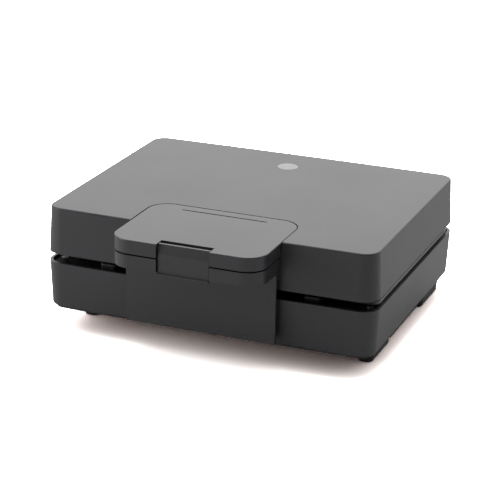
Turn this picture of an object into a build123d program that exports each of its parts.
from build123d import *
import os
from math import atan2, degrees

# A clamshell waffle maker: a lid and a base, nearly mirror images of each other, meet at a
# dark gap. X is to the right, Y to the back, Z up from the table. The origin is under the
# middle of the whole object. All sizes are in millimetres.

# ---- Driving sizes ---------------------------------------------------------------
BODY_W = 273.6            # width over the rims, where lid and base face each other
BODY_D = 216.0            # depth over the rims, at the corners
BODY_R = 14.0             # upright corner radius at the rims
CROWN = 1.2               # how far the front and back walls bow outwards
WALL = 2.5                # moulded wall
ROOF = 2.8                # lid's top wall
DRAFT_IN = 1.75           # how much each shell narrows away from the rims, on each side
UNDERSIDE_Z = 21.5        # table to the lower edge of the base wall
RIM_LOW_Z = 58.1          # base rim
RIM_HIGH_Z = 65.9         # lid rim
TOP_Z = 103.3             # lid top
HANDLE_REACH = 42.5       # handle front, ahead of the rims
HINGE_REACH = 14.7        # hinge knuckles, behind the rims

# ---- Places that follow from them ------------------------------------------------
OVERALL_D = HANDLE_REACH + BODY_D + HINGE_REACH
FRONT = -OVERALL_D / 2 + HANDLE_REACH        # rim front, at the corners
BACK = FRONT + BODY_D                        # rim back, at the corners
MID_Z = (RIM_LOW_Z + RIM_HIGH_Z) / 2         # mirror plane between lid and base
LID_H = TOP_Z - RIM_HIGH_Z
BASE_H = RIM_LOW_Z - UNDERSIDE_Z
MIRROR = Plane.XY.offset(MID_Z)

# ---- Handle and latch ------------------------------------------------------------
HANDLE_W = 123.2
HANDLE_R = 17.0
HANDLE_BACK = FRONT + 49.1                   # back edge of the plate let into the lid
HANDLE_FRONT = FRONT - HANDLE_REACH
HANDLE_T = 10.8                              # thickness of each handle half
HANDLE_SEAM = 1.2                            # gap between the halves
TONGUE_T = 3.6                               # plate where it lies in the lid
SEAT_GAP = 0.55                              # gap round the plate in its pocket
LID_CLEAR = 0.3                              # handle to lid wall
UPPER_Z = TOP_Z - HANDLE_T                   # underside of the upper half
LOWER_TOP_Z = UPPER_Z - HANDLE_SEAM
LOWER_Z = LOWER_TOP_Z - 10.5                 # underside of the lower half
APRON_FRONT = FRONT - 8.4
APRON_BACK = FRONT - 1.7
APRON_Z = 24.1
APRON_T = 2.6                                # apron's front panel
APRON_INSET = 6.0                            # its side returns stand in from its edges
LATCH_W = 41.3
RECESS_W = 42.7
RECESS_BACK = HANDLE_FRONT + 10.5
PIVOT_Y = HANDLE_FRONT + 7.4
PIVOT_Z = TOP_Z - 5.5
PIVOT_PIN_R = 1.5
RUNNING = 0.05                               # radial clearance of a turning fit

# ---- Cooking parts, lower half; the upper ones are mirrored ------------------------
PLATE_Y = FRONT + 109.6                      # middle of the cooking plates
PLATE_W = 269.0
PLATE_D = 190.0
PLATE_R = 7.0
PLATE_GAP = 0.6                              # between the two closed plates
RIM_T = 2.4                                  # plate flange thickness
TRAY_W = 242.0
TRAY_D = 170.0
TRAY_R = 11.0
TRAY_Z = 47.7                                # underside of the tray
CAVITY_W = 112.0
CAVITY_D = 77.0
CAVITY_PITCH_X = 118.0
CAVITY_PITCH_Y = 83.0
CAVITY_DEPTH = 11.0
PEG = 9.6
PEG_PITCH = 17.6
PEG_H = 8.0
PEG_TAPER = 8.0
GUTTER_IN = 5.0                              # drip gutter round the cavities, in from the rim
GUTTER_W = 2.4
GUTTER_DEPTH = 1.2
RIM_EDGE_R = 0.6
PLATE_TOP = MID_Z - PLATE_GAP / 2
DECK_Z = 52.9
DECK_T = 2.6
FIT = 0.3                                    # clearance of parts that drop into each other
TUBE_R = 3.2
TUBE_Z = 43.6
PAN_Z = 36.0
PAN_H = 11.0
PAN_W = 232.0
PAN_D = 150.0
SHEET = 0.8

# ---- Plate release clips -----------------------------------------------------------
CLIP_X = 84.5
CLIP_W = 14.0
CLIP_Y = FRONT + 9.9                         # middle of the clip's head
CLIP_D = 5.6
CLIP_TOP = MID_Z - 0.7
NECK_W = 8.0
NECK_D = 3.4
TONGUE_Z = 49.4
TONGUE_H = 2.0
TONGUE_POCKET = 3.2                          # how deep the tongue's slot goes into the tray
CLIP_TRAVEL = 4.0
SPRING_Z = 46.3

# ---- Hinge -------------------------------------------------------------------------
HINGE_Y = BACK + 8.7
KNUCKLE_R = 6.0
PIN_R = 2.5
HINGE_X = 80.0
EAR_T = 6.0
LID_KNUCKLE_W = 15.4
HINGE_SEAT_Y = BACK + 2.5                    # flat seats on the rear walls
PAD_T = 2.5
PAD_W = 32.0

# ---- Screws and posts --------------------------------------------------------------
SCREW_R = 1.5
HEAD_R = 2.9
HOLE_R = 1.7
POST_R = 4.0
FRONT_POSTS = [(-127.5, FRONT + 19.0), (127.5, FRONT + 19.0)]
REAR_POSTS = [(-95.0, FRONT + 207.0), (95.0, FRONT + 207.0)]
POSTS = FRONT_POSTS + REAR_POSTS
PAN_POSTS = [(x, PLATE_Y + y) for x in (-60.0, 60.0) for y in (-48.0, 48.0)]

os.makedirs("parts", exist_ok=True)
made = []


def save(builder, label):
    """Label a finished piece and write its STEP file."""
    builder.part.label = label
    export_step(builder.part, f"parts/{label}.step")
    made.append(label)


def body_outline(height, inset=0.0):
    """Plan outline of the shells: straight sides, bowed front and back, round corners."""
    half = BODY_W / 2 - inset
    front = FRONT + inset
    back = BACK - inset
    with BuildSketch(Plane.XY.offset(height)) as outline:
        with BuildLine():
            Line((half, front), (half, back))
            ThreePointArc((half, back), (0, back + CROWN), (-half, back))
            Line((-half, back), (-half, front))
            ThreePointArc((-half, front), (0, front - CROWN), (half, front))
        make_face()
        fillet(outline.vertices(), max(BODY_R - inset, 2.0))
    return outline.sketch


def rounded_box(width, depth, radius, height, middle_y, middle_x=0.0):
    """Rounded rectangle, lying at a height, to be extruded."""
    with BuildSketch(Plane((middle_x, middle_y, height))) as outline:
        RectangleRounded(width, depth, radius)
    return outline.sketch


def discs(places, radius, height):
    """Circles of one size at a list of places."""
    with BuildSketch(Plane.XY.offset(height)) as outline:
        with Locations(*places):
            Circle(radius)
    return outline.sketch


def handle_outline(height, back, gap=0.0):
    """Plan of the handle, cut straight at back, with the latch recess in its front edge."""
    depth = HANDLE_BACK - HANDLE_FRONT
    with BuildSketch(Plane.XY.offset(height)) as outline:
        with Locations((0, HANDLE_FRONT + depth / 2)):
            RectangleRounded(HANDLE_W + 2 * gap, depth + 2 * gap, HANDLE_R + gap)
        if back < HANDLE_BACK:
            with Locations((0, back)):
                Rectangle(HANDLE_W + 2, depth, align=(Align.CENTER, Align.MIN), mode=Mode.SUBTRACT)
    return outline.sketch


def recess(height):
    """Slot in the handle's front edge, which the latch hangs in."""
    with BuildSketch(Plane.XY.offset(height)) as outline:
        with Locations((0, RECESS_BACK)):
            Rectangle(RECESS_W, 2 * HANDLE_REACH, align=(Align.CENTER, Align.MAX))
    return outline.sketch


def mirrored(builder, label):
    """Write the same piece for the lid, mirrored in the plane between lid and base."""
    with BuildPart() as twin:
        add(mirror(builder.part, about=MIRROR, mode=Mode.PRIVATE))
    save(twin, label)


DRAFT = degrees(atan2(DRAFT_IN, BASE_H))
LID_DRAFT = degrees(atan2(DRAFT_IN, LID_H))
HINGE_BLOCK_H = 21.0
HINGE_BLOCK_W = PAD_W + 4.0
SEAT_DEPTH = 4.0                             # hinge seat, merged into the rear wall
SEAT_DROP = 1.1                              # from the rim to the seat
SEAT_HOLE = 8.0
EDGE_R = 1.0                                 # lower edge of the base wall
TOP_EDGE_R = 1.2                             # edge round the lid's top

# ---- Base housing -------------------------------------------------------------------
FLANGE_T = 2.5
FLANGE_W = 14.0
GLAND_X = -40.0
GLAND_Z = 38.0
GLAND_R = 6.0
APRON_SCREWS = [(-45.0, 44.0), (45.0, 44.0)]
HINGE_SCREWS_LOW = [(side * HINGE_X, z) for side in (-1, 1) for z in (41.0, 50.0)]

with BuildPart() as base_housing:
    extrude(body_outline(RIM_LOW_Z), amount=-BASE_H, taper=DRAFT)
    fillet(base_housing.faces().sort_by(Axis.Z)[0].edges(), EDGE_R)
    extrude(
        body_outline(RIM_LOW_Z, WALL), amount=FLANGE_T - BASE_H, taper=DRAFT, mode=Mode.SUBTRACT
    )
    extrude(
        body_outline(UNDERSIDE_Z, FLANGE_W), amount=FLANGE_T, mode=Mode.SUBTRACT
    )
    extrude(discs(POSTS, POST_R, UNDERSIDE_Z + FLANGE_T), amount=DECK_Z - UNDERSIDE_Z - FLANGE_T)
    extrude(discs(POSTS, SCREW_R, UNDERSIDE_Z), amount=DECK_Z - UNDERSIDE_Z, mode=Mode.SUBTRACT)
    with BuildSketch(Plane.XZ.offset(-HINGE_SEAT_Y)):
        with Locations(*[(side * HINGE_X, RIM_LOW_Z - SEAT_DROP) for side in (-1, 1)]):
            Rectangle(HINGE_BLOCK_W, HINGE_BLOCK_H, align=(Align.CENTER, Align.MAX))
    extrude(amount=SEAT_DEPTH)
    with BuildSketch(Plane.XZ.offset(-HINGE_SEAT_Y)):
        with Locations(*HINGE_SCREWS_LOW):
            Circle(SCREW_R)
    extrude(amount=SEAT_HOLE, mode=Mode.SUBTRACT)
    with BuildSketch(Plane.XZ.offset(-BACK - 2 * CROWN)):
        with Locations((GLAND_X, GLAND_Z)):
            Circle(GLAND_R)
    extrude(amount=2 * FLANGE_W, mode=Mode.SUBTRACT)
    with BuildSketch(Plane.XZ.offset(-FRONT - 2 * WALL - DRAFT_IN)):
        with Locations(*APRON_SCREWS):
            Circle(HOLE_R)
    extrude(amount=4 * WALL, mode=Mode.SUBTRACT)
save(base_housing, "base_housing")

# ---- Lid housing --------------------------------------------------------------------
POCKET_FLOOR = 2.4
POCKET_BASE_W = HANDLE_W + 6.0               # thickened wall under the handle's pocket
PILOT_DEPTH = 20.0
PAN_PILOT_DEPTH = 9.0
HEAD_POCKET = 4.0                            # room for the handle screws' heads
POCKET_DEPTH = TONGUE_T + 0.2
LENS_R = 8.9
LENS_Y = FRONT + 179.6
LENS_GAP = 0.15
HANDLE_SCREWS = [(-45.0, UPPER_Z + 3.2), (45.0, UPPER_Z + 3.2)]
HINGE_SCREWS_HIGH = [(side * HINGE_X + dx, 78.0) for side in (-1, 1) for dx in (-11.5, 11.5)]
LID_DECK_Z = 2 * MID_Z - DECK_Z              # the lid's deck is screwed up against this level
LID_PAN_Z = 2 * MID_Z - PAN_Z
HANDLE_HEAD_Y = FRONT + WALL + DRAFT_IN      # screw heads inside the front walls

with BuildPart() as lid_housing:
    extrude(body_outline(RIM_HIGH_Z), amount=LID_H, taper=LID_DRAFT)
    fillet(lid_housing.faces().sort_by(Axis.Z)[-1].edges(), TOP_EDGE_R)
    extrude(
        body_outline(RIM_HIGH_Z, WALL), amount=LID_H - ROOF, taper=LID_DRAFT, mode=Mode.SUBTRACT
    )
    extrude(
        rounded_box(
            POCKET_BASE_W, HANDLE_BACK - FRONT + 1, HANDLE_R, TOP_Z - ROOF,
            (HANDLE_BACK + FRONT + 5) / 2,
        ),
        amount=-(POCKET_DEPTH + POCKET_FLOOR - ROOF),
    )
    extrude(handle_outline(TOP_Z, HANDLE_BACK, SEAT_GAP), amount=-POCKET_DEPTH, mode=Mode.SUBTRACT)
    extrude(discs(POSTS, POST_R, LID_DECK_Z), amount=TOP_Z - ROOF - LID_DECK_Z)
    extrude(discs(PAN_POSTS, POST_R, LID_PAN_Z), amount=TOP_Z - ROOF - LID_PAN_Z)
    extrude(discs(POSTS, SCREW_R, LID_DECK_Z), amount=PILOT_DEPTH, mode=Mode.SUBTRACT)
    extrude(discs(PAN_POSTS, SCREW_R, LID_PAN_Z), amount=PAN_PILOT_DEPTH, mode=Mode.SUBTRACT)
    with BuildSketch(Plane.XZ.offset(-HINGE_SEAT_Y)):
        with Locations(*[(side * HINGE_X, RIM_HIGH_Z + SEAT_DROP) for side in (-1, 1)]):
            Rectangle(HINGE_BLOCK_W, HINGE_BLOCK_H, align=(Align.CENTER, Align.MIN))
    extrude(amount=SEAT_DEPTH)
    with BuildSketch(Plane.XZ.offset(-HINGE_SEAT_Y)):
        with Locations(*HINGE_SCREWS_HIGH):
            Circle(SCREW_R)
    extrude(amount=SEAT_HOLE, mode=Mode.SUBTRACT)
    with BuildSketch(Plane.XZ.offset(-FRONT - 2 * WALL - DRAFT_IN)):
        with Locations(*HANDLE_SCREWS):
            Circle(HOLE_R)
    extrude(amount=4 * WALL, mode=Mode.SUBTRACT)
    with BuildSketch(Plane.XZ.offset(-HANDLE_HEAD_Y - HEAD_POCKET)):
        with Locations(*HANDLE_SCREWS):
            Circle(HEAD_R + FIT)
    extrude(amount=HEAD_POCKET, mode=Mode.SUBTRACT)
    extrude(discs([(0, LENS_Y)], LENS_R + LENS_GAP, TOP_Z - 2 * ROOF), amount=3 * ROOF, mode=Mode.SUBTRACT)
save(lid_housing, "lid_housing")

# ---- Handle -------------------------------------------------------------------------
GRIP_BACK = FRONT - CROWN - LID_CLEAR
POCKET_W = 27.0
POCKET_D = 22.0
POCKET_X = 42.5
POCKET_Y = HANDLE_FRONT + 18.0
COVER_T = 2.0
SEAT_LAP = 1.5                               # cover overlaps its pocket by this much
COVER_GAP = 0.15
HANDLE_EDGE_R = 0.8
HANDLE_PILOT = 8.0
FOLD_R = 2.5                                 # inner corner between handle and apron
GROOVE_W = 71.0
APRON_HOLLOW_H = 29.0
GROOVE_Y = HANDLE_BACK - 10.2
GROOVE_T = 1.5
GROOVE_DEPTH = 0.7
HANDLE_POCKETS = [(-POCKET_X, POCKET_Y), (POCKET_X, POCKET_Y)]


def pocket_outlines(height, grow=0.0):
    """The two hollows in a handle half, one each side of the latch."""
    with BuildSketch(Plane.XY.offset(height)) as outline:
        with Locations(*HANDLE_POCKETS):
            RectangleRounded(POCKET_W + 2 * grow, POCKET_D + 2 * grow, 6.0 + grow)
    return outline.sketch


def cross_disc(y, z, radius):
    """Circle in the middle plane, to be extruded both ways into a pin or its hole."""
    with BuildSketch(Plane.YZ) as outline:
        with Locations((y, z)):
            Circle(radius)
    return outline.sketch


with BuildPart() as handle_upper:
    extrude(handle_outline(UPPER_Z, GRIP_BACK), amount=HANDLE_T - TONGUE_T)
    extrude(handle_outline(TOP_Z - TONGUE_T, HANDLE_BACK), amount=TONGUE_T)
    fillet(handle_upper.faces().sort_by(Axis.Z)[-1].edges(), HANDLE_EDGE_R)
    extrude(recess(UPPER_Z), amount=HANDLE_T, mode=Mode.SUBTRACT)
    extrude(pocket_outlines(UPPER_Z), amount=HANDLE_T - WALL, mode=Mode.SUBTRACT)
    extrude(pocket_outlines(UPPER_Z, SEAT_LAP), amount=COVER_T, mode=Mode.SUBTRACT)
    extrude(cross_disc(PIVOT_Y, PIVOT_Z, PIVOT_PIN_R), amount=POCKET_X - POCKET_W / 2 + 1, both=True,
            mode=Mode.SUBTRACT)
    with BuildSketch(Plane.XY.offset(TOP_Z)):
        with Locations((0, GROOVE_Y)):
            SlotOverall(GROOVE_W, GROOVE_T)
    extrude(amount=-GROOVE_DEPTH, mode=Mode.SUBTRACT)
    with BuildSketch(Plane.XZ.offset(-GRIP_BACK)):
        with Locations(*HANDLE_SCREWS):
            Circle(SCREW_R)
    extrude(amount=HANDLE_PILOT, mode=Mode.SUBTRACT)
save(handle_upper, "handle_upper")

with BuildPart() as handle_upper_covers:
    extrude(pocket_outlines(UPPER_Z, SEAT_LAP - COVER_GAP), amount=COVER_T)
save(handle_upper_covers, "handle_upper_covers")

with BuildPart() as handle_lower:
    extrude(handle_outline(LOWER_Z, APRON_BACK), amount=LOWER_TOP_Z - LOWER_Z)
    with BuildSketch(Plane.XY.offset(APRON_Z)):
        with Locations((0, APRON_BACK)):
            Rectangle(HANDLE_W, APRON_BACK - APRON_FRONT, align=(Align.CENTER, Align.MAX))
    extrude(amount=LOWER_Z - APRON_Z)
    with BuildSketch(Plane.XY.offset(APRON_Z)):
        for side in (-1, 1):
            with Locations((side * HANDLE_W / 2, APRON_BACK)):
                Rectangle(
                    2 * APRON_INSET,
                    APRON_BACK - APRON_FRONT - APRON_T,
                    align=(Align.CENTER, Align.MAX),
                )
    extrude(amount=LOWER_Z - APRON_Z - APRON_INSET, mode=Mode.SUBTRACT)
    inner_corner = handle_lower.edges().filter_by(Axis.X).sort_by_distance((0, APRON_FRONT, LOWER_Z))[0]
    fillet(inner_corner, FOLD_R)
    extrude(recess(LOWER_Z), amount=LOWER_TOP_Z - LOWER_Z, mode=Mode.SUBTRACT)
    extrude(pocket_outlines(LOWER_TOP_Z), amount=WALL - (LOWER_TOP_Z - LOWER_Z), mode=Mode.SUBTRACT)
    extrude(pocket_outlines(LOWER_TOP_Z, SEAT_LAP), amount=-COVER_T, mode=Mode.SUBTRACT)
    with BuildSketch(Plane.XZ.offset(-APRON_BACK)):
        with Locations((0, APRON_Z + WALL)):
            Rectangle(HANDLE_W - 2 * WALL - 2 * APRON_INSET, APRON_HOLLOW_H, align=(Align.CENTER, Align.MIN))
    extrude(amount=APRON_BACK - APRON_FRONT - WALL, mode=Mode.SUBTRACT)
    with BuildSketch(Plane.XZ.offset(-APRON_BACK)):
        with Locations(*APRON_SCREWS):
            Circle(POST_R)
    extrude(amount=APRON_BACK - APRON_FRONT - WALL)
    with BuildSketch(Plane.XZ.offset(-APRON_BACK)):
        with Locations(*APRON_SCREWS):
            Circle(SCREW_R)
    extrude(amount=APRON_BACK - APRON_FRONT - 1, mode=Mode.SUBTRACT)
save(handle_lower, "handle_lower")

with BuildPart() as handle_lower_covers:
    extrude(pocket_outlines(LOWER_TOP_Z, SEAT_LAP - COVER_GAP), amount=-COVER_T)
save(handle_lower_covers, "handle_lower_covers")

# ---- Latch, its pin, spring and catch -----------------------------------------------
LATCH_FACE = HANDLE_FRONT + 1.7
LATCH_T = 2.8
LATCH_FOOT_Z = 79.1
LATCH_TOP_Z = TOP_Z - 0.3
LATCH_BEND_Z = TOP_Z - 7.8                   # above this level the flap leans back
LEAN_FRONT = 1.8
LEAN_BACK = 1.1
LIP_T = 1.0                                  # finger lip at the foot
HOOK_BACK = LATCH_FACE + 2 * LATCH_T - 0.2
HOOK_T = 1.8
LUG_H = 4.4                                  # web from the flap to the lug
LATCH_EDGE_R = 0.4
LUG_W = 8.5
LUG_R = 2.9
CATCH_W = 16.0

with BuildPart() as latch:
    with BuildSketch(Plane.YZ):
        with BuildLine():
            Polyline(
                (HANDLE_FRONT, LATCH_FOOT_Z),
                (HANDLE_FRONT, LATCH_FOOT_Z + LIP_T),
                (LATCH_FACE, LATCH_FOOT_Z + LIP_T + 0.7),
                (LATCH_FACE, LATCH_BEND_Z),
                (LATCH_FACE + LEAN_FRONT, LATCH_TOP_Z),
                (LATCH_FACE + LATCH_T + LEAN_BACK, LATCH_TOP_Z),
                (LATCH_FACE + LATCH_T, LATCH_BEND_Z),
                (LATCH_FACE + LATCH_T, LATCH_FOOT_Z + HOOK_T + 1.4),
                (HOOK_BACK, LATCH_FOOT_Z + HOOK_T),
                (HOOK_BACK, LATCH_FOOT_Z),
                close=True,
            )
        make_face()
    extrude(amount=LATCH_W / 2, both=True)
    for side in (-1, 1):
        with BuildSketch(Plane.YZ.offset(side * LATCH_W / 2)):
            with Locations((PIVOT_Y, PIVOT_Z)):
                Circle(LUG_R)
                Rectangle(PIVOT_Y - LATCH_FACE - LATCH_T / 2, LUG_H, align=(Align.MAX, Align.CENTER))
        extrude(amount=-side * LUG_W)
    extrude(cross_disc(PIVOT_Y, PIVOT_Z, PIVOT_PIN_R + RUNNING), amount=LATCH_W, both=True,
            mode=Mode.SUBTRACT)
    flanks = latch.faces().filter_by(Axis.X).sort_by(Axis.X)
    front_edges = flanks[0].edges().sort_by(Axis.Y)[:4] + flanks[-1].edges().sort_by(Axis.Y)[:4]
    fillet(front_edges, LATCH_EDGE_R)
save(latch, "latch")

with BuildPart() as latch_pin:
    extrude(cross_disc(PIVOT_Y, PIVOT_Z, PIVOT_PIN_R), amount=POCKET_X - POCKET_W / 2 - 2, both=True)
save(latch_pin, "latch_pin")

with BuildPart() as latch_spring:
    extrude(cross_disc(PIVOT_Y, PIVOT_Z, LUG_R - 0.6), amount=LATCH_W / 2 - LUG_W - 1.5, both=True)
    extrude(cross_disc(PIVOT_Y, PIVOT_Z, PIVOT_PIN_R + 0.3), amount=LATCH_W, both=True,
            mode=Mode.SUBTRACT)
save(latch_spring, "latch_spring")

CATCH_TOP_Z = 89.5
CATCH_BEND_Z = 82.4                          # the leaf bends forwards and up from here
CATCH_TIP_Z = 84.6
CATCH_TIP_Y = LATCH_FACE + LATCH_T + 1.6

with BuildPart() as latch_catch:
    with BuildSketch(Plane.YZ):
        with BuildLine():
            Polyline(
                (RECESS_BACK, CATCH_TOP_Z),
                (RECESS_BACK, CATCH_BEND_Z),
                (CATCH_TIP_Y, CATCH_TIP_Z),
                (CATCH_TIP_Y, CATCH_TIP_Z + SHEET),
                (RECESS_BACK - SHEET, CATCH_BEND_Z + 1.8),
                (RECESS_BACK - SHEET, CATCH_TOP_Z),
                close=True,
            )
        make_face()
    extrude(amount=CATCH_W / 2, both=True)
save(latch_catch, "latch_catch")

# ---- Deck: the frame that each cooking plate drops into -------------------------------
NECK_SLOT_D = NECK_D + CLIP_TRAVEL + 1.0
TRAY_GAP = 2.0
DECK_SCREW_L = 10.0
DECK_HEAD_T = 1.3
RIB_Y = FRONT + 6.6
RIB_T = 1.5
RIB_W = 15.0
RIB_LOW_Z = SPRING_Z - 2.6
NECK_WINDOW_W = NECK_W + 1.0
NECK_WINDOW_Z = TONGUE_Z - 0.5               # the neck passes through the rib above this level
RESTS = [(side * 128.5, PLATE_Y + y) for side in (-1, 1) for y in (-60.0, 60.0)]
REST_R = 3.5

with BuildPart() as base_deck:
    extrude(body_outline(DECK_Z, WALL + FIT), amount=DECK_T)
    extrude(
        rounded_box(TRAY_W + 2 * TRAY_GAP, TRAY_D + 2 * TRAY_GAP, TRAY_R + TRAY_GAP, DECK_Z, PLATE_Y),
        amount=DECK_T, mode=Mode.SUBTRACT,
    )
    with BuildSketch(Plane.XY.offset(DECK_Z)):
        with Locations(*[(side * CLIP_X, CLIP_Y + NECK_D / 2 + 0.4) for side in (-1, 1)]):
            Rectangle(NECK_W + 1, NECK_SLOT_D, align=(Align.CENTER, Align.MAX))
    extrude(amount=DECK_T, mode=Mode.SUBTRACT)
    with BuildSketch(Plane.XY.offset(DECK_Z)):
        with Locations(*[(side * CLIP_X, RIB_Y) for side in (-1, 1)]):
            Rectangle(RIB_W, RIB_T, align=(Align.CENTER, Align.MAX))
    extrude(amount=RIB_LOW_Z - DECK_Z)
    with BuildSketch(Plane.XY.offset(NECK_WINDOW_Z)):
        with Locations(*[(side * CLIP_X, RIB_Y) for side in (-1, 1)]):
            Rectangle(NECK_WINDOW_W, 4 * RIB_T)
    extrude(amount=DECK_Z - NECK_WINDOW_Z, mode=Mode.SUBTRACT)
    extrude(discs(RESTS, REST_R, DECK_Z + DECK_T), amount=PLATE_TOP - RIM_T - DECK_Z - DECK_T)
    extrude(discs(POSTS, HOLE_R, DECK_Z), amount=DECK_T, mode=Mode.SUBTRACT)
save(base_deck, "base_deck")
mirrored(base_deck, "lid_deck")

with BuildPart() as base_deck_screws:
    extrude(discs(POSTS, SCREW_R, DECK_Z + DECK_T), amount=-DECK_T - DECK_SCREW_L)
    extrude(discs(POSTS, HEAD_R, DECK_Z + DECK_T), amount=DECK_HEAD_T)
save(base_deck_screws, "base_deck_screws")
mirrored(base_deck_screws, "lid_deck_screws")

# ---- Cooking plates -------------------------------------------------------------------
CAVITY_FLOOR = PLATE_TOP - CAVITY_DEPTH
CAVITY_R = 8.0
PEGS_X = 6
PEGS_Y = 4

with BuildPart() as lower_waffle_plate:
    extrude(rounded_box(PLATE_W, PLATE_D, PLATE_R, PLATE_TOP, PLATE_Y), amount=-RIM_T)
    fillet(lower_waffle_plate.faces().sort_by(Axis.Z)[-1].edges(), RIM_EDGE_R)
    extrude(
        rounded_box(TRAY_W, TRAY_D, TRAY_R, TRAY_Z, PLATE_Y), amount=PLATE_TOP - RIM_T - TRAY_Z
    )
    with BuildSketch(Plane((0, PLATE_Y, PLATE_TOP))):
        with GridLocations(CAVITY_PITCH_X, CAVITY_PITCH_Y, 2, 2):
            RectangleRounded(CAVITY_W, CAVITY_D, CAVITY_R)
    extrude(amount=-CAVITY_DEPTH, taper=PEG_TAPER, mode=Mode.SUBTRACT)
    with BuildSketch(Plane((0, PLATE_Y, CAVITY_FLOOR))):
        with GridLocations(CAVITY_PITCH_X, CAVITY_PITCH_Y, 2, 2):
            with GridLocations(PEG_PITCH, PEG_PITCH, PEGS_X, PEGS_Y):
                Rectangle(PEG, PEG)
    extrude(amount=PEG_H, taper=PEG_TAPER)
    with BuildSketch(Plane((0, PLATE_Y, PLATE_TOP))):
        RectangleRounded(PLATE_W - 2 * GUTTER_IN, PLATE_D - 2 * GUTTER_IN, PLATE_R)
        RectangleRounded(
            PLATE_W - 2 * GUTTER_IN - 2 * GUTTER_W, PLATE_D - 2 * GUTTER_IN - 2 * GUTTER_W,
            PLATE_R - GUTTER_W, mode=Mode.SUBTRACT,
        )
    extrude(amount=-GUTTER_DEPTH, mode=Mode.SUBTRACT)
    with BuildSketch(Plane((0, PLATE_Y - TRAY_D / 2, TONGUE_Z - FIT))):
        with Locations(*[(side * CLIP_X, 0) for side in (-1, 1)]):
            Rectangle(NECK_W + 1, 2 * TONGUE_POCKET)
    extrude(amount=TONGUE_H + 2 * FIT, mode=Mode.SUBTRACT)
save(lower_waffle_plate, "lower_waffle_plate")
mirrored(lower_waffle_plate, "upper_waffle_plate")

# ---- Release clips: a sprung tongue holds each plate at its front edge ------------------
TONGUE_END = PLATE_Y - TRAY_D / 2 + 2.4
LUG_Y = FRONT + 20.6
LUG_T = 2.0
SPRING_R = 2.4
SPRING_WALL = 0.7
CLIP_EDGE_R = 1.6
HEAD_Z = DECK_Z + DECK_T + 0.2


def make_clip(side):
    """One plate release clip: domed head, neck through the deck, tongue and spring lug."""
    with BuildPart() as clip:
        with BuildSketch(Plane((side * CLIP_X, CLIP_Y, HEAD_Z))):
            SlotOverall(CLIP_W, CLIP_D)
        extrude(amount=CLIP_TOP - HEAD_Z)
        fillet(clip.faces().sort_by(Axis.Z)[-1].edges(), CLIP_EDGE_R)
        with BuildSketch(Plane((side * CLIP_X, CLIP_Y, TONGUE_Z))):
            Rectangle(NECK_W, NECK_D)
        extrude(amount=HEAD_Z - TONGUE_Z)
        with BuildSketch(Plane((side * CLIP_X, CLIP_Y - NECK_D / 2, TONGUE_Z))):
            Rectangle(NECK_W, TONGUE_END - CLIP_Y + NECK_D / 2, align=(Align.CENTER, Align.MIN))
        extrude(amount=TONGUE_H)
        with BuildSketch(Plane((side * CLIP_X, LUG_Y, TONGUE_Z))):
            Rectangle(NECK_W, LUG_T, align=(Align.CENTER, Align.MIN))
        extrude(amount=RIB_LOW_Z - TONGUE_Z)
    return clip


def make_clip_spring(side):
    """Compression spring between the deck's rib and the clip's lug."""
    with BuildPart() as spring:
        with BuildSketch(Plane.XZ.offset(-RIB_Y)):
            with Locations((side * CLIP_X, SPRING_Z)):
                Circle(SPRING_R)
                Circle(SPRING_R - SPRING_WALL, mode=Mode.SUBTRACT)
        extrude(amount=RIB_Y - LUG_Y)
    return spring


for side, hand in ((-1, "left"), (1, "right")):
    clip = make_clip(side)
    spring = make_clip_spring(side)
    save(clip, f"lower_release_clip_{hand}")
    save(spring, f"lower_clip_spring_{hand}")
    mirrored(clip, f"upper_release_clip_{hand}")
    mirrored(spring, f"upper_clip_spring_{hand}")

# ---- Heat: reflector pans, tube elements and their saddles -----------------------------
LOOP_X = 92.0
LOOP_FRONT = PLATE_Y - 62.0
LOOP_BACK = PLATE_Y + 60.0
LOOP_GAP = 16.0
TERMINAL_Y = PLATE_Y + PAN_D / 2 + 3.0
LEAD_Y = TERMINAL_Y + 5.4
THERMOSTAT_X = 0.0
THERMOSTAT_Y = PLATE_Y - 10.0
THERMOSTAT_R = 8.5
THERMOSTAT_LOW_Z = PAN_Z - 6.0
LOOP_R = 12.0
PAN_R = 10.0
SLOT_DEPTH = 12.0                            # the tube's ends leave the pan through slots

with BuildPart() as lower_reflector:
    extrude(rounded_box(PAN_W, PAN_D, PAN_R, PAN_Z, PLATE_Y), amount=PAN_H)
    extrude(
        rounded_box(PAN_W - 2 * SHEET, PAN_D - 2 * SHEET, PAN_R - SHEET, PAN_Z + SHEET, PLATE_Y),
        amount=PAN_H, mode=Mode.SUBTRACT,
    )
    extrude(discs(PAN_POSTS, HOLE_R, PAN_Z), amount=SHEET, mode=Mode.SUBTRACT)
    extrude(
        discs([(THERMOSTAT_X, THERMOSTAT_Y)], THERMOSTAT_R + FIT, PAN_Z), amount=SHEET, mode=Mode.SUBTRACT
    )
    with BuildSketch(Plane.XZ.offset(-PLATE_Y - PAN_D / 2 - 1)):
        with Locations(*[(side * LOOP_GAP, TUBE_Z) for side in (-1, 1)]):
            Rectangle(2 * TUBE_R + 2, 2 * PAN_H)
    extrude(amount=SLOT_DEPTH, mode=Mode.SUBTRACT)
save(lower_reflector, "lower_reflector")
mirrored(lower_reflector, "upper_reflector")

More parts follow.
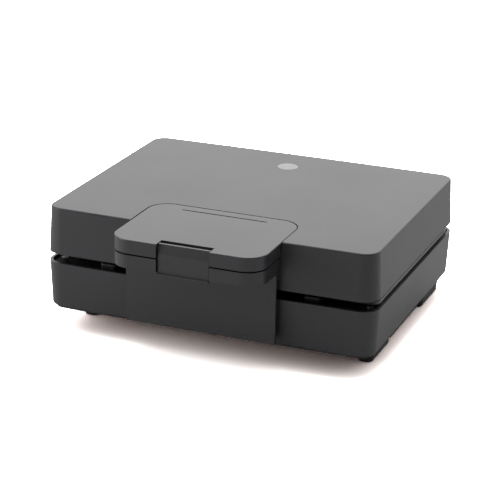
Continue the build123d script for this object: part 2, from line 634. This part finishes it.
with BuildPart() as lower_heating_element:
    with BuildLine() as loop:
        FilletPolyline(
            (-LOOP_GAP, TERMINAL_Y, TUBE_Z),
            (-LOOP_GAP, LOOP_BACK, TUBE_Z),
            (-LOOP_X, LOOP_BACK, TUBE_Z),
            (-LOOP_X, LOOP_FRONT, TUBE_Z),
            (LOOP_X, LOOP_FRONT, TUBE_Z),
            (LOOP_X, LOOP_BACK, TUBE_Z),
            (LOOP_GAP, LOOP_BACK, TUBE_Z),
            (LOOP_GAP, TERMINAL_Y, TUBE_Z),
            radius=LOOP_R,
        )
    with BuildSketch(Plane((-LOOP_GAP, TERMINAL_Y, TUBE_Z), z_dir=(0, -1, 0))):
        Circle(TUBE_R)
    sweep(path=loop.line)
save(lower_heating_element, "lower_heating_element")
mirrored(lower_heating_element, "upper_heating_element")

SADDLE_W = 14.0
SADDLE_D = 10.0
SADDLES = [(x, y) for x in (-LOOP_X, LOOP_X) for y in (PLATE_Y - 30, PLATE_Y + 30)]

with BuildPart() as lower_element_saddles:
    with BuildSketch(Plane.XY.offset(PAN_Z + SHEET)):
        with Locations(*SADDLES):
            Rectangle(SADDLE_W, SADDLE_D)
    extrude(amount=TUBE_Z - PAN_Z - SHEET)
    for side in (-1, 1):
        with BuildSketch(Plane.XZ.offset(-PLATE_Y)):
            with Locations((side * LOOP_X, TUBE_Z)):
                Circle(TUBE_R + 0.1)
        extrude(amount=PAN_D / 2, both=True, mode=Mode.SUBTRACT)
save(lower_element_saddles, "lower_element_saddles")
mirrored(lower_element_saddles, "upper_element_saddles")

with BuildPart() as thermostat:
    extrude(
        discs([(THERMOSTAT_X, THERMOSTAT_Y)], THERMOSTAT_R, THERMOSTAT_LOW_Z),
        amount=TRAY_Z - THERMOSTAT_LOW_Z - 0.5,
    )
    with BuildSketch(Plane((THERMOSTAT_X, THERMOSTAT_Y, PAN_Z))):
        SlotOverall(30, 9)
    extrude(amount=-1.0)
    with BuildSketch(Plane((THERMOSTAT_X, THERMOSTAT_Y, THERMOSTAT_LOW_Z))):
        with GridLocations(9, 0, 2, 1):
            Rectangle(0.8, 6)
    extrude(amount=-7)
save(thermostat, "thermostat")

FUSE_X = 42.0
FUSE_Y = PLATE_Y + 20.0
FUSE_Z = PAN_Z - 3.0
FUSE_L = 16.0
FUSE_R = 2.5
FUSE_WIRE_L = 28.0
FUSE_WIRE_R = 0.6

with BuildPart() as thermal_fuse:
    for length, radius in ((FUSE_L, FUSE_R), (FUSE_WIRE_L, FUSE_WIRE_R)):
        with BuildSketch(Plane.YZ.offset(FUSE_X)):
            with Locations((FUSE_Y, FUSE_Z)):
                Circle(radius)
        extrude(amount=length / 2, both=True)
    fillet(thermal_fuse.edges().filter_by(GeomType.CIRCLE).group_by(SortBy.RADIUS)[-1], 0.6)
save(thermal_fuse, "thermal_fuse")

# ---- Bottom cover and feet ---------------------------------------------------------------
COVER_FLANGE_T = 2.5
COVER_TOP_Z = UNDERSIDE_Z - COVER_FLANGE_T
COVER_Z = 6.3
COVER_FRONT = FRONT + 19.6
COVER_BACK = FRONT + 201.0
COVER_TOP_W = 254.0
COVER_LOW_W = 245.0
COVER_IN = DRAFT_IN + 3.0                    # cover flange, in from the base rim's outline
SKID_FRONT = FRONT + 40.5
FOOT_W = 13.0
FOOT_X = 117.3
FRONT_FOOT = (SKID_FRONT, SKID_FRONT + 50.0)
REAR_FOOT = (FRONT + 167.5, FRONT + 219.5)
REAR_FOOT_X = 119.0
FOOT_Z = COVER_Z
FOOT_EDGE_R = 1.5
VENTS = 9
VENT_PITCH = 13.0
VENT_L = 46.0
VENT_W = 3.2
PEG_SHIFT = 6.0                              # rear pegs sit ahead of the middle of their feet
RAIL_START = FRONT_FOOT[1] + 1.5             # rails fill the stretch between the feet
RAIL_END = REAR_FOOT[0] - 1.5
RAIL_Y = (RAIL_START + RAIL_END) / 2
RAIL_R = 2.0
RAIL_X = 119.0
RAIL_W = 7.0
RAIL_Z = 2.0
FOOT_PEG_R = 3.0


def cover_section(height, width, front, back, radius):
    """Plan of the sloping underbody at one height."""
    with BuildSketch(Plane.XY.offset(height)) as outline:
        with Locations((0, (front + back) / 2)):
            RectangleRounded(width, back - front, radius)
    return outline.sketch


with BuildPart() as bottom_cover:
    extrude(body_outline(UNDERSIDE_Z, COVER_IN), amount=-COVER_FLANGE_T)
    loft([
        cover_section(COVER_TOP_Z, COVER_TOP_W, COVER_FRONT, COVER_BACK, 10.0),
        cover_section(COVER_Z, COVER_LOW_W, SKID_FRONT - 1.0, COVER_BACK - 2.0, 8.0),
    ])
    for side in (-1, 1):
        middle = (REAR_FOOT[0] + REAR_FOOT[1]) / 2
        extrude(
            rounded_box(FOOT_W, REAR_FOOT[1] - REAR_FOOT[0], 6.0, COVER_Z, middle, side * REAR_FOOT_X),
            amount=UNDERSIDE_Z - COVER_Z - 1.0,
        )
    for side in (-1, 1):
        extrude(
            rounded_box(RAIL_W, RAIL_END - RAIL_START, RAIL_R, RAIL_Z, RAIL_Y, side * RAIL_X),
            amount=COVER_Z + WALL - RAIL_Z,
        )
    loft([
        cover_section(UNDERSIDE_Z, COVER_TOP_W - 2 * WALL, COVER_FRONT + 1.0, COVER_BACK - WALL, 8.0),
        cover_section(
            COVER_Z + WALL,
            COVER_LOW_W - 2 * WALL,
            SKID_FRONT + 2.0,
            COVER_BACK - 2.0 - WALL,
            6.0,
        ),
    ], mode=Mode.SUBTRACT)
    extrude(discs(PAN_POSTS, POST_R, COVER_Z + WALL), amount=PAN_Z - COVER_Z - WALL)
    extrude(discs(PAN_POSTS, SCREW_R, PAN_Z), amount=-10, mode=Mode.SUBTRACT)
    extrude(discs(POSTS, HOLE_R, COVER_TOP_Z), amount=COVER_FLANGE_T, mode=Mode.SUBTRACT)
    with BuildSketch(Plane((0, PLATE_Y, COVER_Z))):
        with GridLocations(VENT_PITCH, 0, VENTS, 1):
            SlotOverall(VENT_L, VENT_W, rotation=90)
    extrude(amount=WALL, mode=Mode.SUBTRACT)
    with BuildSketch(Plane.XY.offset(COVER_Z)):
        for side in (-1, 1):
            for middle_y in (sum(FRONT_FOOT) / 2, sum(REAR_FOOT) / 2 - PEG_SHIFT):
                with Locations((side * (FOOT_X - 1.0), middle_y)):
                    Circle(FOOT_PEG_R)
    extrude(amount=WALL + 1.5, mode=Mode.SUBTRACT)
save(bottom_cover, "bottom_cover")


def make_foot(side, x, span, peg_shift):
    """Rubber skid with a peg that plugs into the bottom cover."""
    middle = (span[0] + span[1]) / 2
    with BuildPart() as foot:
        extrude(rounded_box(FOOT_W - 1.0, span[1] - span[0] - 1.0, 5.4, 0, middle, side * x), amount=FOOT_Z)
        fillet(foot.faces().sort_by(Axis.Z)[0].edges(), FOOT_EDGE_R)
        extrude(discs([(side * (FOOT_X - 1.0), middle - peg_shift)], FOOT_PEG_R - 0.05, FOOT_Z), amount=WALL)
    return foot


for side, hand in ((-1, "left"), (1, "right")):
    save(make_foot(side, FOOT_X, FRONT_FOOT, 0), f"front_foot_{hand}")
    save(make_foot(side, REAR_FOOT_X, REAR_FOOT, PEG_SHIFT), f"rear_foot_{hand}")

# ---- Hinge ------------------------------------------------------------------------------
PAD_LOW_Z = (38.0, 56.0)
PAD_HIGH_Z = (69.0, 86.0)


def hinge_profile(z_low, z_high, x):
    """Side profile of a hinge leaf: a knuckle running down into its pad."""
    with BuildSketch(Plane.YZ.offset(x)) as outline:
        with Locations((HINGE_Y, MID_Z)):
            Circle(KNUCKLE_R)
        with Locations((HINGE_SEAT_Y, z_low)):
            Rectangle(PAD_T, z_high - z_low, align=(Align.MIN, Align.MIN))
        make_hull()
    return outline.sketch


def hinge_pad(z_low, z_high, middle_x):
    """The leaf's flat pad on the rear wall."""
    with BuildSketch(Plane.XZ.offset(-HINGE_SEAT_Y - PAD_T)) as outline:
        with Locations((middle_x, (z_low + z_high) / 2)):
            RectangleRounded(PAD_W, z_high - z_low, 2.0)
    return outline.sketch


EAR_X = LID_KNUCKLE_W / 2 + FIT

for side, hand in ((-1, "left"), (1, "right")):
    middle_x = side * HINGE_X
    with BuildPart() as base_leaf:
        extrude(hinge_pad(*PAD_LOW_Z, middle_x), amount=PAD_T)
        extrude(hinge_profile(*PAD_LOW_Z, middle_x + EAR_X), amount=EAR_T)
        extrude(hinge_profile(*PAD_LOW_Z, middle_x - EAR_X), amount=-EAR_T)
        extrude(cross_disc(HINGE_Y, MID_Z, PIN_R), amount=BODY_W / 2, both=True, mode=Mode.SUBTRACT)
        with BuildSketch(Plane.XZ.offset(-HINGE_SEAT_Y)):
            with Locations(*[place for place in HINGE_SCREWS_LOW if place[0] * side > 0]):
                Circle(HOLE_R)
        extrude(amount=-PAD_T, mode=Mode.SUBTRACT)
    save(base_leaf, f"hinge_base_leaf_{hand}")

    with BuildPart() as lid_leaf:
        extrude(hinge_pad(*PAD_HIGH_Z, middle_x), amount=PAD_T)
        extrude(hinge_profile(*PAD_HIGH_Z, middle_x - LID_KNUCKLE_W / 2), amount=LID_KNUCKLE_W)
        extrude(
            cross_disc(HINGE_Y, MID_Z, PIN_R + RUNNING),
            amount=BODY_W / 2,
            both=True,
            mode=Mode.SUBTRACT,
        )
        with BuildSketch(Plane.XZ.offset(-HINGE_SEAT_Y)):
            with Locations(*[place for place in HINGE_SCREWS_HIGH if place[0] * side > 0]):
                Circle(HOLE_R)
        extrude(amount=-PAD_T, mode=Mode.SUBTRACT)
    save(lid_leaf, f"hinge_lid_leaf_{hand}")

    with BuildPart() as hinge_pin:
        with BuildSketch(Plane.YZ.offset(middle_x - EAR_X - EAR_T)):
            with Locations((HINGE_Y, MID_Z)):
                Circle(PIN_R)
        extrude(amount=2 * (EAR_X + EAR_T))
    save(hinge_pin, f"hinge_pin_{hand}")

# ---- Indicator light ---------------------------------------------------------------------
LENS_FLANGE = 2.0
LENS_FLANGE_T = 1.2
LAMP_TOP_Z = TOP_Z - ROOF - 1.6
LAMP_R = 3.0
LAMP_H = 8.0

with BuildPart() as indicator_lens:
    extrude(discs([(0, LENS_Y)], LENS_R, TOP_Z), amount=-ROOF)
    extrude(discs([(0, LENS_Y)], LENS_R + LENS_FLANGE, TOP_Z - ROOF), amount=-LENS_FLANGE_T)
    fillet(indicator_lens.faces().sort_by(Axis.Z)[-1].edges(), 0.3)
save(indicator_lens, "indicator_lens")

with BuildPart() as indicator_lamp:
    extrude(discs([(0, LENS_Y)], LAMP_R, LAMP_TOP_Z), amount=-LAMP_H)
    fillet(indicator_lamp.faces().sort_by(Axis.Z)[-1].edges(), 1.4)
    with BuildSketch(Plane((0, LENS_Y, LAMP_TOP_Z - LAMP_H))):
        with GridLocations(2.4, 0, 2, 1):
            Circle(0.4)
    extrude(amount=-2.5)
save(indicator_lamp, "indicator_lamp")

# ---- Mains side: gland, terminal block and leads -------------------------------------------
GLAND_BORE_R = 3.6
GLAND_END_Y = BACK + 8.5
GLAND_L = 15.5
GLAND_FLANGE_T = 3.0
GLAND_RINGS = (                              # back face, radius and length of each ring
    (GLAND_END_Y, GLAND_R - 0.5, GLAND_L),
    (BACK + 4.1, GLAND_R + 2.5, GLAND_FLANGE_T),
    (BACK - 4.0, GLAND_R + 2.0, GLAND_FLANGE_T),
)

with BuildPart() as cord_gland:
    for back, radius, length in GLAND_RINGS:
        with BuildSketch(Plane.XZ.offset(-back)):
            with Locations((GLAND_X, GLAND_Z)):
                Circle(radius)
        extrude(amount=length)
    with BuildSketch(Plane.XZ.offset(-GLAND_END_Y)):
        with Locations((GLAND_X, GLAND_Z)):
            Circle(GLAND_BORE_R)
    extrude(amount=GLAND_L, mode=Mode.SUBTRACT)
save(cord_gland, "cord_gland")

BLOCK_X = -75.0
BLOCK_Y = PLATE_Y + 70.0
BLOCK_Z = COVER_Z + WALL
BLOCK_W = 34.0
BLOCK_D = 16.0
BLOCK_H = 11.0
WELL_R = 2.2
WELL_DEPTH = 3.0

with BuildPart() as terminal_block:
    with BuildSketch(Plane((BLOCK_X, BLOCK_Y, BLOCK_Z))):
        Rectangle(BLOCK_W, BLOCK_D)
    extrude(amount=BLOCK_H)
    with BuildSketch(Plane((BLOCK_X, BLOCK_Y, BLOCK_Z + BLOCK_H))):
        with GridLocations(10, BLOCK_D / 2, 3, 2):
            Circle(WELL_R)
    extrude(amount=-WELL_DEPTH, mode=Mode.SUBTRACT)
save(terminal_block, "terminal_block")

LEAD_R = 1.4
LEAD_GAP = 0.3
LEAD_X = BLOCK_X + 24.0
BEND_R = 3.0

with BuildPart() as base_leads:
    for side in (-1, 1):
        run_z = BLOCK_Z + 5 - side * 2
        run_x = LEAD_X + side * 3
        run_y = BLOCK_Y + side * 4
        start = Vector(side * LOOP_GAP, TERMINAL_Y + LEAD_GAP, TUBE_Z)
        turn = Vector(side * LOOP_GAP, LEAD_Y, TUBE_Z)
        drop = Vector(side * LOOP_GAP, LEAD_Y, run_z)
        run = Vector(run_x, LEAD_Y, run_z)
        enter = Vector(run_x, run_y, run_z)
        end = Vector(BLOCK_X + BLOCK_W / 2 + LEAD_GAP, run_y, run_z)
        with BuildLine() as route:
            FilletPolyline(start, turn, drop, run, enter, end, radius=BEND_R)
        with BuildSketch(Plane(start, z_dir=(0, 1, 0))):
            Circle(LEAD_R)
        sweep(path=route.line)
save(base_leads, "base_leads")

# ---- Screws --------------------------------------------------------------------------------
HEAD_T = 1.6
HEAD_EDGE_R = 0.6
PAN_SCREW_L = 9.0
CROSS_L = 3.4
CROSS_W = 0.8
CROSS_DEPTH = 0.9


def cross_recess(plane, places):
    """Cross shaped driver recesses, to be cut into screw heads."""
    with BuildSketch(plane) as outline:
        with Locations(*places):
            Rectangle(CROSS_L, CROSS_W)
            Rectangle(CROSS_W, CROSS_L)
    return outline.sketch


with BuildPart() as cover_screws:
    extrude(discs(POSTS, SCREW_R, COVER_TOP_Z), amount=12)
    extrude(discs(POSTS, HEAD_R, COVER_TOP_Z), amount=-HEAD_T)
    fillet(cover_screws.faces().group_by(Axis.Z)[0].edges(), HEAD_EDGE_R)
    extrude(
        cross_recess(Plane.XY.offset(COVER_TOP_Z - HEAD_T), POSTS), amount=CROSS_DEPTH, mode=Mode.SUBTRACT
    )
save(cover_screws, "cover_screws")

for label, seat, up in (
    ("lower_reflector_screws", PAN_Z + SHEET, 1),
    ("upper_reflector_screws", LID_PAN_Z - SHEET, -1),
):
    with BuildPart() as pan_screws:
        extrude(discs(PAN_POSTS, SCREW_R, seat), amount=-up * PAN_SCREW_L)
        extrude(discs(PAN_POSTS, HEAD_R, seat), amount=up * HEAD_T)
    save(pan_screws, label)


def wall_screws(places, head_y, length):
    """Screws along Y: heads stand on head_y, shanks run forwards from it."""
    with BuildPart() as screws:
        with BuildSketch(Plane.XZ.offset(-head_y)):
            with Locations(*places):
                Circle(SCREW_R)
        extrude(amount=length)
        with BuildSketch(Plane.XZ.offset(-head_y)):
            with Locations(*places):
                Circle(HEAD_R)
        extrude(amount=-HEAD_T)
        fillet(screws.faces().group_by(Axis.Y)[-1].edges(), HEAD_EDGE_R)
        extrude(
            cross_recess(Plane.XZ.offset(-head_y - HEAD_T), places), amount=CROSS_DEPTH, mode=Mode.SUBTRACT
        )
    return screws


save(wall_screws(HINGE_SCREWS_LOW, HINGE_SEAT_Y + PAD_T, 7), "hinge_base_screws")
save(wall_screws(HINGE_SCREWS_HIGH, HINGE_SEAT_Y + PAD_T, 7), "hinge_lid_screws")
save(wall_screws(APRON_SCREWS, HANDLE_HEAD_Y, 9), "apron_screws")
save(wall_screws(HANDLE_SCREWS, HANDLE_HEAD_Y, 11), "handle_screws")

print(len(made), "pieces written")
